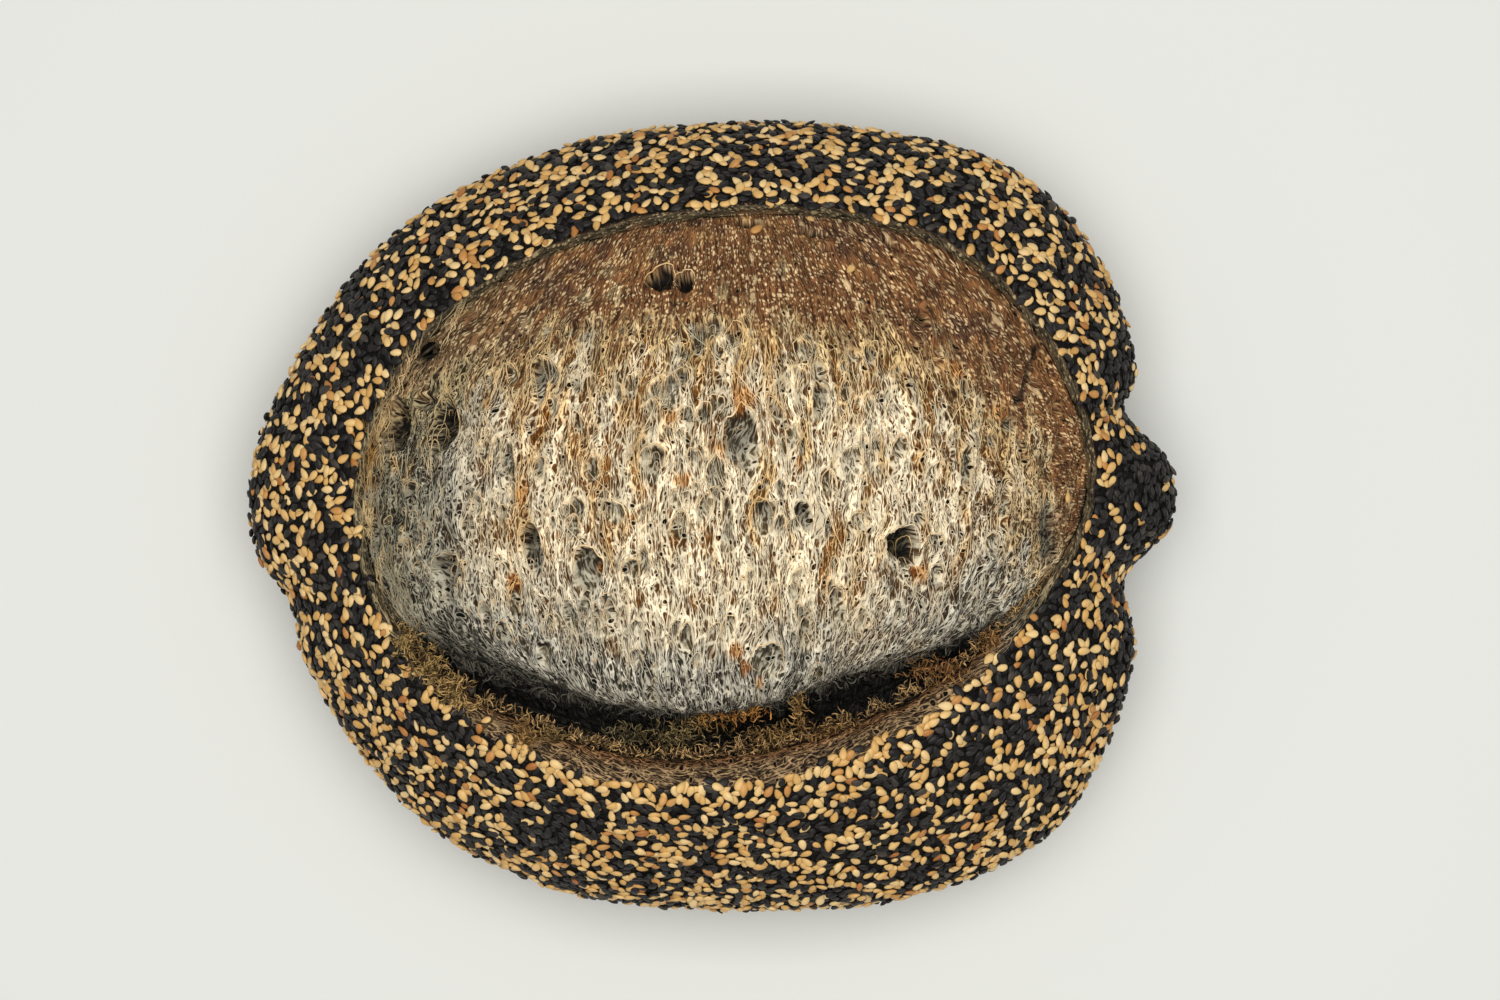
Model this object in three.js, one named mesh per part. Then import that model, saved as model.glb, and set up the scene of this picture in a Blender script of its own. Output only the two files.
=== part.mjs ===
// A sourdough loaf, baked as one piece: a round-oval loaf in a seeded crust that has burst along one
// long score. The crumb swells out of the opening as a smooth crown, and the cut crust along the front
// has peeled back into a raised ear with a deep crevice behind it. The underside is flat where the loaf
// sat on the oven stone.
// Millimetres, +Z up, +X along the length and +Y away from the ear. The origin is the middle of the
// loaf's footprint, on the surface that it stands on.

import * as THREE from "three";

// Driving dimensions
const CROWN_HEIGHT = 104; // top of the swollen crumb
const WIDEST_HEIGHT = 38; // where the side is furthest out
const CROWN_CENTRE = new THREE.Vector2(3, 6); // middle of the opening, measured from the middle of the outline

// Plan outlines, as a distance from the crown's centre every 22.5 degrees, anticlockwise from +X.
const OUTLINE = [102, 109, 109, 98, 92, 94, 101, 109, 117, 111, 110, 106, 103, 109, 117, 110];
const OPENING = [90, 88, 82, 73, 68, 69, 75, 83, 88, 86, 79, 73, 69, 69, 73, 79];

// Height of the crust's torn edge round the opening
const EDGE_HEIGHT_SIDE = 62;
const EDGE_HEIGHT_BACK = 72;
const EDGE_HEIGHT_EAR = 84;

// The ear, a raised flap along the front of the opening
const EAR_LEFT = [188, 243]; // degrees over which it rises out of the crust at its left end
const EAR_RIGHT = [300, 352]; // and over which it sinks back at its right end
const EAR_THICKNESS = 6.5; // the cut face, from the crumb side to the seeded side
const CREVICE_WIDTH = 10.5; // open gap between the ear and the crumb
const CREVICE_DEPTH = 20; // below the ear's rim
const SEAM_DEPTH = 2; // shallow groove where there is no ear and crust meets crumb

// Folds where the score runs out at the two ends: a lobe of crust pushed out between two creases on the
// right, and one crease on the left. [direction in degrees, spread in degrees, how far out]
const FOLDS = [
  [0, 8.5, 10],
  [11, 3.5, -4.5],
  [348, 5, -4],
  [194, 4, -3.5],
];
const FOLD_AT_BASE = 0.25; // share of a fold that reaches the flat underside

// The side below its widest height, and the flat underside
const TUCK_HEIGHT = 13;
const TUCK_INSET = 5;
const BASE_INSET = 22;

// Grid of the surface: one column for each direction, and rings between the named places of the profile
const COLUMNS = 90;
const CROWN_RINGS = 14;
const RINGS_PER_STRETCH = 3;

const radians = THREE.MathUtils.degToRad;
const smoothstep = THREE.MathUtils.smoothstep;

// A smooth closed curve through evenly spaced radii, read at a direction in degrees.
function radiusAt(radii, degrees) {
  const place = (degrees / 360) * radii.length;
  const before = Math.floor(place);
  const [a, b, c, d] = [-1, 0, 1, 2].map((k) => radii[(before + k + radii.length) % radii.length]);
  const t = place - before;
  return b + 0.5 * t * (c - a + t * (2 * a - 5 * b + 4 * c - d + t * (3 * (b - c) + d - a)));
}

// How much of an ear there is in a direction, from 0 to 1.
function earShare(degrees) {
  return smoothstep(degrees, ...EAR_LEFT) * (1 - smoothstep(degrees, ...EAR_RIGHT));
}

function foldAt(degrees) {
  return FOLDS.reduce((sum, [centre, spread, out]) => {
    const off = THREE.MathUtils.euclideanModulo(degrees - centre + 180, 360) - 180;
    return sum + out * Math.exp(-(Math.abs(off / spread) ** 3));
  }, 0);
}

function edgeHeight(degrees) {
  const towardsBack = Math.sin(radians(degrees));
  const back = (EDGE_HEIGHT_BACK - EDGE_HEIGHT_SIDE) * Math.max(0, towardsBack) ** 1.5;
  const front = (EDGE_HEIGHT_EAR - EDGE_HEIGHT_SIDE) * Math.max(0, -towardsBack) ** 1.2;
  return EDGE_HEIGHT_SIDE + back + front;
}

// The loaf's profile in one direction, from the crown's top out over the ear and in under the base, as
// points of (distance from the crown's centre, height).
function profile(degrees) {
  const ear = earShare(degrees);
  const edge = radiusAt(OPENING, degrees);
  const fold = foldAt(degrees);
  const side = radiusAt(OUTLINE, degrees) + fold;
  const base = side - BASE_INSET - fold * (1 - FOLD_AT_BASE);
  const rim = edgeHeight(degrees);
  const floor = rim - SEAM_DEPTH - (CREVICE_DEPTH - SEAM_DEPTH) * ear;
  const crumbEdge = edge - 2.5 - (EAR_THICKNESS + CREVICE_WIDTH - 2.5) * ear;
  const crumbFoot = floor + 1 + 9 * ear;

  const points = [];
  for (let ring = 0; ring < CROWN_RINGS; ring++) {
    const out = ring / CROWN_RINGS;
    const fall = (1 - out ** 2.3) ** (1 - 0.45 * ear);
    points.push(new THREE.Vector2(crumbEdge * out, crumbFoot + (CROWN_HEIGHT - crumbFoot) * fall));
  }

  const wall = side - edge;
  const named = [
    [crumbEdge, crumbFoot], // foot of the crumb
    [crumbEdge + 0.8 + 5 * ear, floor], // bottom of the crevice
    [edge - 0.9 - (EAR_THICKNESS - 2) * ear, rim - 0.5 - 10 * ear], // under the ear's cut face
    [edge - 0.8 - (EAR_THICKNESS - 0.8) * ear, rim - 0.4 - 3.5 * ear], // inner edge of the cut face
    [edge, rim], // rim, where the seeds begin
    [edge + 0.34 * wall, WIDEST_HEIGHT + 0.8 * (rim - WIDEST_HEIGHT)],
    [edge + 0.74 * wall, WIDEST_HEIGHT + 0.43 * (rim - WIDEST_HEIGHT)],
    [side, WIDEST_HEIGHT],
    [side - TUCK_INSET - 0.4 * fold, TUCK_HEIGHT],
    [base, 0], // edge of the flat underside
  ].map(([out, up]) => new THREE.Vector3(out, up, 0));
  const line = new THREE.CatmullRomCurve3(named, false, "centripetal");
  const steps = (named.length - 1) * RINGS_PER_STRETCH;
  for (let step = 0; step <= steps; step++) {
    const { x, y } = line.getPoint(step / steps);
    points.push(new THREE.Vector2(x, Math.max(0, y)));
  }

  points.push(new THREE.Vector2(0, 0));
  return points;
}

// A sphere's grid, from pole to pole, drawn over the profiles.
function loafGeometry() {
  const profiles = Array.from({ length: COLUMNS }, (_, column) => profile((column / COLUMNS) * 360));
  const rings = profiles[0].length - 1;
  const geometry = new THREE.SphereGeometry(1, COLUMNS, rings);
  const position = geometry.getAttribute("position");
  for (let ring = 0; ring <= rings; ring++) {
    for (let column = 0; column <= COLUMNS; column++) {
      const turn = (column % COLUMNS) / COLUMNS;
      const { x: out, y: up } = profiles[column % COLUMNS][ring];
      position.setXYZ(
        ring * (COLUMNS + 1) + column,
        CROWN_CENTRE.x + out * Math.cos(turn * 2 * Math.PI),
        CROWN_CENTRE.y + out * Math.sin(turn * 2 * Math.PI),
        up,
      );
    }
  }
  geometry.computeBoundingBox();
  const middle = geometry.boundingBox.getCenter(new THREE.Vector3());
  geometry.translate(-middle.x, -middle.y, 0);
  geometry.computeVertexNormals();
  return geometry;
}

const bakedCrust = new THREE.MeshStandardMaterial({ color: 0x4a3a2a, roughness: 0.85, metalness: 0 });

const loaf = new THREE.Mesh(loafGeometry(), bakedCrust);
loaf.name = "loaf";

const part = new THREE.Group();
part.add(loaf);

export default part;
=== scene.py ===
# %% [markdown]
# # A sourdough loaf under black and golden sesame
#
# The loaf was rolled in sesame, scored once and baked hard. The cut opened into a wide mouth: its front
# edge stands up as an ear, and the crumb swelled through it as a stretched, torn dome. A charcoal dough
# gives the dome its greys. The order here is the baker's: first the loaf, then its seeds, then the shreds
# that the tear left behind. Lengths are given in millimetres and turned to metres, as Blender counts them.

# %% Load the frame
import math

import bmesh
import bpy
import numpy as np
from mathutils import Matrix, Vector, noise


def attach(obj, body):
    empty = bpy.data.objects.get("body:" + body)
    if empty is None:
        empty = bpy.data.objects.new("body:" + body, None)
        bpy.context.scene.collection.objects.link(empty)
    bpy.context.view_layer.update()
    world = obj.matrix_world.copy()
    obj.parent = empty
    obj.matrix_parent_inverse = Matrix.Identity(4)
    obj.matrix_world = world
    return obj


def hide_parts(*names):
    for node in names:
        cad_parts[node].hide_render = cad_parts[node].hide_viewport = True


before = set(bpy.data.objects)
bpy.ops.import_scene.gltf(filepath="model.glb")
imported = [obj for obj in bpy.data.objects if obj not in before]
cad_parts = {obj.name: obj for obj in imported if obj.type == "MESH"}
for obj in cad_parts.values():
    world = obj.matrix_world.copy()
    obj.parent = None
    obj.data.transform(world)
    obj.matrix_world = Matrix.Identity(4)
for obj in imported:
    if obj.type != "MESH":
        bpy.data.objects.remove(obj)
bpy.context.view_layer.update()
MM = 0.001
TURN = 2 * math.pi


# %% [markdown]
# ## Helpers
#
# Colours are picked as sRGB hex values, and Blender's sockets want linear light, so one function turns
# them. Another adds any shader node. What it is given as an input is a value, an output to be linked
# there, or a node, whose first output is linked. Writing each node out in full would take four lines
# apiece, and a function for every kind of node would hide what the tree is made of.

# %% Colours and nodes
def linear(colour):
    """The linear red, green and blue of a hex colour such as "#d9a765"."""
    shares = np.array([int(colour[at : at + 2], 16) / 255 for at in (1, 3, 5)])
    return np.where(shares <= 0.04045, shares / 12.92, ((shares + 0.055) / 1.055) ** 2.4)


def add(tree, kind, inputs=None, stops=None, **settings):
    """Adds a node with its settings, its inputs' values or links and, on a colour ramp, its stops."""
    made = tree.nodes.new("ShaderNode" + kind)
    for name, value in settings.items():
        setattr(made, name, value)
    for name, value in (inputs or {}).items():
        if isinstance(value, bpy.types.Node):
            value = value.outputs[0]
        if isinstance(value, bpy.types.NodeSocket):
            tree.links.new(value, made.inputs[name])
        else:
            made.inputs[name].default_value = value
    if stops:
        ramp = made.color_ramp.elements
        ramp[0].position, ramp[1].position = stops[0][0], stops[-1][0]
        for at, _ in stops[1:-1]:
            ramp.new(at)
        for stop, (_, colour) in zip(ramp, stops):
            stop.color = (*linear(colour), 1)
    return made


def new_material(name):
    """A material with an empty tree, and that tree."""
    material = bpy.data.materials.new(name)
    material.use_nodes = True
    material.node_tree.nodes.clear()
    return material, material.node_tree


print("half grey in linear light:", linear("#808080")[0].round(3))

# %% [markdown]
# ## The studio
#
# The camera hangs straight over the loaf, on a long lens, so that the dome isn't swollen by closeness.
# Several lamps would each throw a shadow of their own. So a bright, even sky does most of the work, and
# one wide softbox hangs over the camera, which leaves only a faint shadow all round the loaf.

# %% Camera
CAMERA_PLACE = (9.64 * MM, 3.96 * MM, 840 * MM)
SENSOR_WIDTH, LENS = 36, 77.645
camera = bpy.data.objects.new("camera", bpy.data.cameras.new("camera"))
camera.location = CAMERA_PLACE
camera.data.sensor_width = SENSOR_WIDTH
camera.data.lens = LENS
camera.data.clip_start = 10 * MM
bpy.context.scene.collection.objects.link(camera)
bpy.context.scene.camera = camera
bpy.context.scene.view_settings.view_transform = "Standard"
print("width of the floor in view, mm:", round(CAMERA_PLACE[2] / MM * SENSOR_WIDTH / LENS))

# %% Light
SKY_STRENGTH = 0.31
SOFTBOX_WATTS = 10.8
SOFTBOX_SIDE = 800 * MM
SOFTBOX_PLACE = (20 * MM, 0, 1100 * MM)
sky = bpy.data.worlds.new("studio sky")
sky.use_nodes = True
sky.node_tree.nodes["Background"].inputs["Color"].default_value = (*linear("#ffffff"), 1)
sky.node_tree.nodes["Background"].inputs["Strength"].default_value = SKY_STRENGTH
bpy.context.scene.world = sky

softbox = bpy.data.objects.new("softbox", bpy.data.lights.new("softbox", "AREA"))
softbox.data.energy = SOFTBOX_WATTS
softbox.data.size = SOFTBOX_SIDE
softbox.data.color = linear("#fffffd")
softbox.location = SOFTBOX_PLACE
softbox.rotation_euler = softbox.location.to_track_quat("Z", "Y").to_euler()
bpy.context.scene.collection.objects.link(softbox)
print("softbox:", SOFTBOX_WATTS, "W, over a sky of strength", SKY_STRENGTH)

# %% [markdown]
# The floor is a sheet of backdrop paper. It could curve up into a wall, but the camera looks straight
# down, so a flat sheet far wider than the view does the same.

# %% Floor
FLOOR_HALF = 3000 * MM
floor_shape = bmesh.new()
bmesh.ops.create_grid(floor_shape, x_segments=1, y_segments=1, size=FLOOR_HALF)
floor = bpy.data.objects.new("floor", bpy.data.meshes.new("floor"))
floor_shape.to_mesh(floor.data)
floor_shape.free()
bpy.context.scene.collection.objects.link(floor)

# Rolled, uncoated paper is even and matt: the eye gets one pale tone with no gleam. Its fibres are far too
# fine to show, so only a faint cloudiness is drawn, as coarse as the sheet's own waves.
CLOUD_SIZE = 2000 * MM
paper, tree = new_material("matt backdrop paper")
sheet = add(tree, "TexCoord").outputs["Object"]
from_corner = add(tree, "Mapping", {"Vector": sheet, "Location": (FLOOR_HALF, FLOOR_HALF, FLOOR_HALF)})
cloudiness = add(tree, "TexNoise", {"Vector": from_corner, "Scale": 1 / CLOUD_SIZE, "Detail": 2.0})
tone = add(tree, "ValToRGB", {"Fac": cloudiness}, stops=[(0.3, "#e3e4df"), (0.7, "#e5e6e1")])
surface = add(tree, "BsdfPrincipled", {"Base Color": tone, "Roughness": 0.9})
add(tree, "OutputMaterial", {"Surface": surface})
floor.data.materials.append(paper)
print("floor, m:", 2 * FLOOR_HALF, "square")


# %% [markdown]
# ## The loaf's plain form
#
# The plain loaf is a skin of rings: they run from the top of the dome, down into the crevice, over the
# ear, down the crust and under the base. Merged and walked ring by ring from the crown, it becomes a
# chart, from which any point of the loaf can be read. A smooth ball of even squares is then laid over
# that chart. That puts small squares where the torn crumb needs them and large ones under the seeds,
# which a plain subdivision of the rings couldn't, because they crowd together at the crown.

# %% Chart the plain loaf
MERGE_WITHIN = 0.001 * MM
A_HAIR = 0.01  # radians: it keeps the column that points along +X from landing at both ends
plain = bmesh.new()
plain.from_mesh(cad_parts["loaf"].data)
bmesh.ops.remove_doubles(plain, verts=plain.verts, dist=MERGE_WITHIN)
crown = max(plain.verts, key=lambda vert: (len(vert.link_edges), vert.co.z))


def direction(vert):
    """The direction of a vertex from the crown, in radians from +X."""
    away = vert.co - crown.co
    return (math.atan2(away.y, away.x) + A_HAIR) % TURN


rings = [[crown]]
seen = {crown}
while rings[-1]:
    near = {edge.other_vert(vert) for vert in rings[-1] for edge in vert.link_edges} - seen
    seen |= near
    rings.append(sorted(near, key=direction))
rings.pop()
COLUMNS = len(rings[1])
chart = np.array([[vert.co for vert in ring] * (COLUMNS // len(ring)) for ring in rings]) / MM
crown_point = chart[0, 0]
plain.free()
print("rings and columns:", chart.shape[:2])

# %% Name the rings that matter
# They are the foot of the dome, the pit of the crevice, the ear's lip from under and from above, and the
# rim, where the seeds begin.
FOOT, PIT, LIP_UNDER, LIP_TOP, RIM = 14, 17, 20, 23, 26
BASE_EDGE, BASE = len(chart) - 2, len(chart) - 1
steps = np.linalg.norm(np.diff(chart, axis=0), axis=2)
lengths = np.vstack([np.zeros(COLUMNS), np.cumsum(steps, axis=0)])
print("crown to rim, mm:", lengths[RIM].min().round(), "to", lengths[RIM].max().round())


# %% [markdown]
# Between the rings and columns the plain form is read with the curve through four neighbours, one way and
# then the other. Straight lines between them would leave the plain loaf's flat faces to be seen.

# %% Read the chart anywhere
def spline(before, start, end, after, share):
    """A smooth curve through start and end, with its neighbours' help."""
    return 0.5 * (
        2 * start
        + (end - before) * share
        + (2 * before - 5 * start + 4 * end - after) * share**2
        + (3 * start - before - 3 * end + after) * share**3
    )


def read(rows, ring, column):
    """The value of a ring-by-column chart at fractions of a ring and a column."""
    half = COLUMNS // 2
    rows = np.concatenate([np.roll(rows[1:2], half, axis=1), rows, np.roll(rows[-2:-1], half, axis=1)])
    low = np.clip(np.floor(ring).astype(int), 0, len(rows) - 4)
    left = np.floor(column).astype(int)
    down = (ring - low).reshape(-1, *[1] * (rows.ndim - 2))
    across = (column - left).reshape(-1, *[1] * (rows.ndim - 2))
    lines = [
        spline(*[rows[low + row, (left + side) % COLUMNS] for side in (-1, 0, 1, 2)], across)
        for row in range(4)
    ]
    return spline(*lines, down)


rim_back = read(chart, np.array([RIM]), np.array([COLUMNS / 4]))[0]
print("back of the rim, mm:", rim_back.round())

# %% [markdown]
# The ball starts as a cube, cut into a grid and blown up: a sphere from Blender's menu would crowd its
# faces at two poles. More than half of its angle goes to the mouth, which is then subdivided once more.

# %% Blow up a ball
CUBE_SIDE = 72
MOUTH_ANGLE, BASE_ANGLE = math.radians(110), math.radians(164)
FINE_ANGLE = MOUTH_ANGLE + 0.03
ball = bmesh.new()
bmesh.ops.create_cube(ball, size=2)
bmesh.ops.subdivide_edges(ball, edges=ball.edges[:], cuts=CUBE_SIDE - 1, use_grid_fill=True)
for vert in ball.verts:
    vert.co = Vector([math.tan(side * math.pi / 4) for side in vert.co]).normalized()
mouth = [edge for edge in ball.edges if all(vert.co.z > math.cos(FINE_ANGLE) for vert in edge.verts)]
bmesh.ops.subdivide_edges(ball, edges=mouth, cuts=1, use_grid_fill=True)
for vert in ball.verts:
    vert.co.normalize()
loaf = bpy.data.objects.new("baked_loaf", bpy.data.meshes.new("baked_loaf"))
bpy.context.scene.collection.objects.link(loaf)
ball.to_mesh(loaf.data)
ball.free()
print("loaf faces:", len(loaf.data.polygons))

# %% Lay the ball over the chart
ANGLES = np.radians(np.arange(181))
stations = np.array(
    [
        np.interp(
            np.interp(ANGLES, [0, MOUTH_ANGLE, BASE_ANGLE, math.pi], column[[0, RIM, BASE_EDGE, BASE]]),
            column,
            np.arange(len(column)),
        )
        for column in lengths.T
    ]
).T


def places(mesh):
    """The mesh's vertices as an array."""
    flat = np.empty(len(mesh.vertices) * 3, np.float32)
    mesh.vertices.foreach_get("co", flat)
    return flat.reshape(-1, 3).astype(float)


def move(mesh, points):
    """Puts the mesh's vertices at the points, in millimetres, and returns the new normals."""
    mesh.vertices.foreach_set("co", (points * MM).astype(np.float32).ravel())
    mesh.update()
    return np.array([normal.vector for normal in mesh.vertex_normals])


ways = places(loaf.data)
polar = np.arccos(np.clip(ways[:, 2], -1, 1))
column = np.arctan2(ways[:, 1], ways[:, 0]) % TURN / TURN * COLUMNS
ring = np.clip(read(stations, np.degrees(polar), column), 0, BASE)
smooth = read(chart, ring, column)
smooth[:, 2] = np.maximum(smooth[:, 2], 0)
outward = move(loaf.data, smooth)
print("smooth loaf, mm:", np.ptp(smooth, axis=0).round(1))

# %% [markdown]
# ## Zones
#
# The loaf is one bread with several faces: the baked skin at the back of the dome, the pale bloom in its
# middle, the grey sides that stretched late, the ear's cut face, the crevice, whose dark is painted shade,
# and the seeded crust.
# They could be masks in the material, but then the relief couldn't follow them. So each is a share from 0
# to 1 at every vertex, told by the ring, by the place and by a little noise.

# %% Soft edges and noise
def smoothstep(low, high, value):
    """0 below low, 1 above high, and a smooth rise between them."""
    share = np.clip((value - low) / (high - low), 0, 1)
    return share * share * (3 - 2 * share)


def between(rise, fade, value):
    """A share that rises smoothly over one range of values and fades over a later one."""
    return smoothstep(*rise, value) * (1 - smoothstep(*fade, value))


def hills(points, size, seed):
    """Smooth random values, mostly from -0.7 to 0.7, that change over the size."""
    spots = points / size + 17.3 * seed
    return 1.4 * np.array([noise.noise(spot) for spot in spots.tolist()])


def ridges(values, width):
    """1 on the lines where smooth random values cross zero, and 0 away from them."""
    return 1 - smoothstep(0, width, np.abs(values))


# %% Grain coordinates, in millimetres across and along the stretched threads
GRAIN_RADIUS, GRAIN_AXIS, LIP_RADIUS = 70, 34, 85
offset = smooth - [*crown_point[:2], GRAIN_AXIS]
above = np.maximum(offset[:, 2], 1)
across = GRAIN_RADIUS * np.arctan2(offset[:, 0], above)
along = GRAIN_RADIUS * np.arctan2(offset[:, 1], above)
around = (column / COLUMNS * TURN + 0.75 * TURN / 2) % TURN * LIP_RADIUS
on_lip = ring > PIT
down = read(lengths, ring, column)
grain = np.stack([np.where(on_lip, down, across), np.where(on_lip, around, along), 0 * ring], 1)
print("grain across and along, mm:", np.ptp(grain[:, :2], axis=0).round())

# %% Where things lie
# Ranges round the loaf are in degrees from +X, and the others in millimetres.
EAR_RISE, EAR_FADE = (192, 235), (305, 347)
x, y, z = smooth.T
turn = column / COLUMNS * 360
past_rim = down - read(lengths, np.full(len(ring), float(RIM)), column)
past_foot = down - read(lengths, np.full(len(ring), float(FOOT)), column)
ear = between(EAR_RISE, EAR_FADE, turn)
broad = hills(smooth, 22, 1)
ragged = hills(smooth, 6, 2)
fine = hills(smooth, 2.5, 3)
print("share of the outline that has an ear:", round(float((ear[ring < FOOT] > 0.5).mean()), 2))

# %% Shares of the zones
# The skin begins on a squarish oval, and the bloom fades on another.
SKIN_X, SKIN_Y, SKIN_LEFT, SKIN_RIGHT, SKIN_BACK, SKIN_POWER = 5, -20, 105, 80, 65, 2.6
BLOOM_X, BLOOM_Y, BLOOM_LENGTH, BLOOM_WIDTH = 8, 12, 68, 42
EDGE_RISE, EDGE_FADE = (140, 165), (205, 225)
reach = (np.abs(x - SKIN_X) / np.where(x < SKIN_X, SKIN_LEFT, SKIN_RIGHT)) ** SKIN_POWER
reach += (np.maximum(y - SKIN_Y, 0) / SKIN_BACK) ** SKIN_POWER
reach **= 1 / SKIN_POWER
stripes = hills(grain / [2.2, 14, 1], 1, 19)
skin_edge = reach + 0.03 * broad + 0.06 * ragged + 0.04 * fine
skin = smoothstep(0.94, 1.05, skin_edge + 0.07 * stripes)
bloom = np.sqrt(((x - BLOOM_X) / BLOOM_LENGTH) ** 2 + ((y - BLOOM_Y) / BLOOM_WIDTH) ** 2)
grey = smoothstep(0.7, 1.25, bloom + 0.2 * broad + 0.15 * ragged)
crust = smoothstep(-0.5, 0.8, past_rim + 0.9 * ragged + 0.5 * fine)
before_crust = 1 - crust
at_ear = smoothstep(0.05, 0.4, ear)
lip = smoothstep(PIT + 1, LIP_UNDER, ring) * before_crust * at_ear
left_edge = between(EDGE_RISE, EDGE_FADE, turn)
seam_width = 3.0 - 1.2 * left_edge + 1.8 * ragged
seam = (1 - smoothstep(seam_width - 1, seam_width + 2, -past_rim)) * before_crust * (1 - at_ear)
crevice = smoothstep(-4, 1.5, past_foot + 1.5 * ragged)
crevice *= 1 - smoothstep(PIT + 1, LIP_TOP - 0.5, ring)
crevice *= at_ear
on_dome = 1 - smoothstep(-1.5, 1.0, past_foot)
crumb = on_dome * (1 - skin)
print("share of the mouth that is skin:", round(float(skin[ring < FOOT].mean()), 2))

# %% [markdown]
# ## Relief
#
# Stretched crumb is a web: long bubbles with raised, pale walls, smaller ones inside them, and a few
# large ones that tore open. A displacement modifier could raise the web, but it knows nothing of single
# bubbles, so the vertices are moved in code. The largest bubbles are placed one by one, the others by
# chance. Everything moves along the smooth surface's own normals, so nothing shears.

# %% The large torn bubbles
# Each is [x, y, half width, half length, depth, tilt], in millimetres and degrees.
BUBBLES = [
    [-11.4, 55.8, 3.4, 2.8, 5, 20],
    [-5.6, 55.6, 2.2, 2.6, 5.5, 0],
    [-8.2, 50.9, 1.0, 0.9, 4, 0],
    [-68.5, 39, 2.1, 5.4, 4.2, -68],
    [-74, 33.2, 1.7, 2.8, 4.4, 0],
    [-75.8, 21.6, 4.2, 6.4, 6.5, 0],
    [-67.6, 27.4, 3, 2.2, 3, 0],
    [-62.4, 21.5, 3.6, 7.4, 4.2, 0],
    [-59.3, 22.4, 0.9, 2.2, 7, 0],
    [-39, 32, 2.2, 5.4, 2.8, 0],
    [8, 17.2, 3.8, 8.8, 2.4, 8],
    [-8.7, 28.2, 2.7, 4.2, 1.5, -10],
    [-4.7, 23.4, 1.5, 2.2, 2.2, 5],
    [-0.8, 23.6, 1.8, 2.6, 2.2, 0],
    [-6.4, 18.6, 1, 1.9, 1.6, 0],
    [-8.9, 19.4, 1.2, 1.5, 1.2, 0],
    [-20.7, 28.2, 1.2, 2.4, 1.8, 0],
    [1.9, 9.4, 2.3, 5, 1.5, -4],
    [1.9, 10, 0.4, 0.5, 2.4, 0],
    [1.4, 5.8, 1, 1.4, 1.8, 0],
    [-12.8, 12.7, 3, 4, 1.4, -10],
    [-7.7, 4, 0.9, 2.4, 1.4, 0],
    [-4.5, 5.1, 1.1, 1.1, 1.4, 0],
    [-2.5, 6.9, 0.9, 1.1, 1.4, 0],
    [-1.5, 3, 1.2, 2, 1.4, 0],
    [-6.4, -1.8, 1.9, 3.2, 1.5, 0],
    [4.4, 2.1, 1.3, 2.4, 1.8, 0],
    [12.6, -0.2, 2.7, 4.6, 1.8, -6],
    [-21.5, 1, 2.8, 2.8, 1.6, 0],
    [16.7, 6.5, 1.1, 2.4, 1.6, 0],
    [22.2, 0, 1.9, 4.2, 3.4, 12],
    [27.8, -3, 1.1, 3.6, 2.6, 0],
    [45.2, -6.4, 3.7, 5, 6, 25],
    [48.8, -0.6, 1.6, 1.8, 2.4, 0],
    [47.4, -12.4, 1.5, 1.4, 3, 0],
    [-40.7, -7.6, 2.8, 6.8, 3.8, 5],
    [-27.5, -12, 3.8, 5, 2.4, -10],
    [-14.5, -10.6, 1.3, 4.2, 2.8, 0],
    [-22.6, -19, 1.4, 1.9, 2.6, 0],
    [-24, -27, 1.1, 2.2, 1.6, 0],
    [-38, -32, 1.8, 3.4, 1.8, 0],
    [79.4, -4.6, 1.9, 8, 1.4, -4],
    [76, 34, 1.0, 9, 1.4, -22],
    [71, 22, 1.6, 2.2, 2.2, 0],
    [82.6, 26, 0.9, 2.6, 2.6, 0],
    [43, 65, 1.1, 2.8, 3, 62],
    [10, 69.3, 1.3, 4.4, 4, 88],
    [25, 67.2, 0.9, 4, 3.2, 86],
    [28, 63, 0.8, 2, 1.6, 75],
    [21.8, 38.3, 2, 2.8, 1.6, 0],
    [21.9, 32.8, 0.9, 1.2, 2.4, 0],
    [37.6, 37.7, 1.6, 3.2, 1.4, 0],
    [-3.6, 44.6, 2.2, 3, 1.5, 0],
    [1.4, 44.6, 2, 3, 1.4, 0],
    [6, 42, 2.2, 2.8, 1.3, 0],
    [-30, 43, 3, 3, 1.6, 0],
    [-70.5, 6.5, 1.7, 1.8, 2.6, 0],
    [-64, 0.5, 1.0, 1.8, 3, 0],
    [-62, -13, 3, 5, 3.2, 0],
    [-81, -3, 1.6, 6, 3, 12],
    [-52, -24, 1.6, 4, 2, 10],
    [14, -33, 3.5, 4.5, 2.2, 0],
    [60, 12, 1.8, 5, 2, -5],
    [24.4, 40, 0.6, 16, 1.0, 2],
    [33, 12, 2.2, 5, 1.6, -4],
    [-46, 12, 1.8, 6, 2, 5],
    [-5, -28, 1.5, 4, 1.8, 0],
    [36, -24, 1.4, 3.4, 1.8, 8],
]

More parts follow.
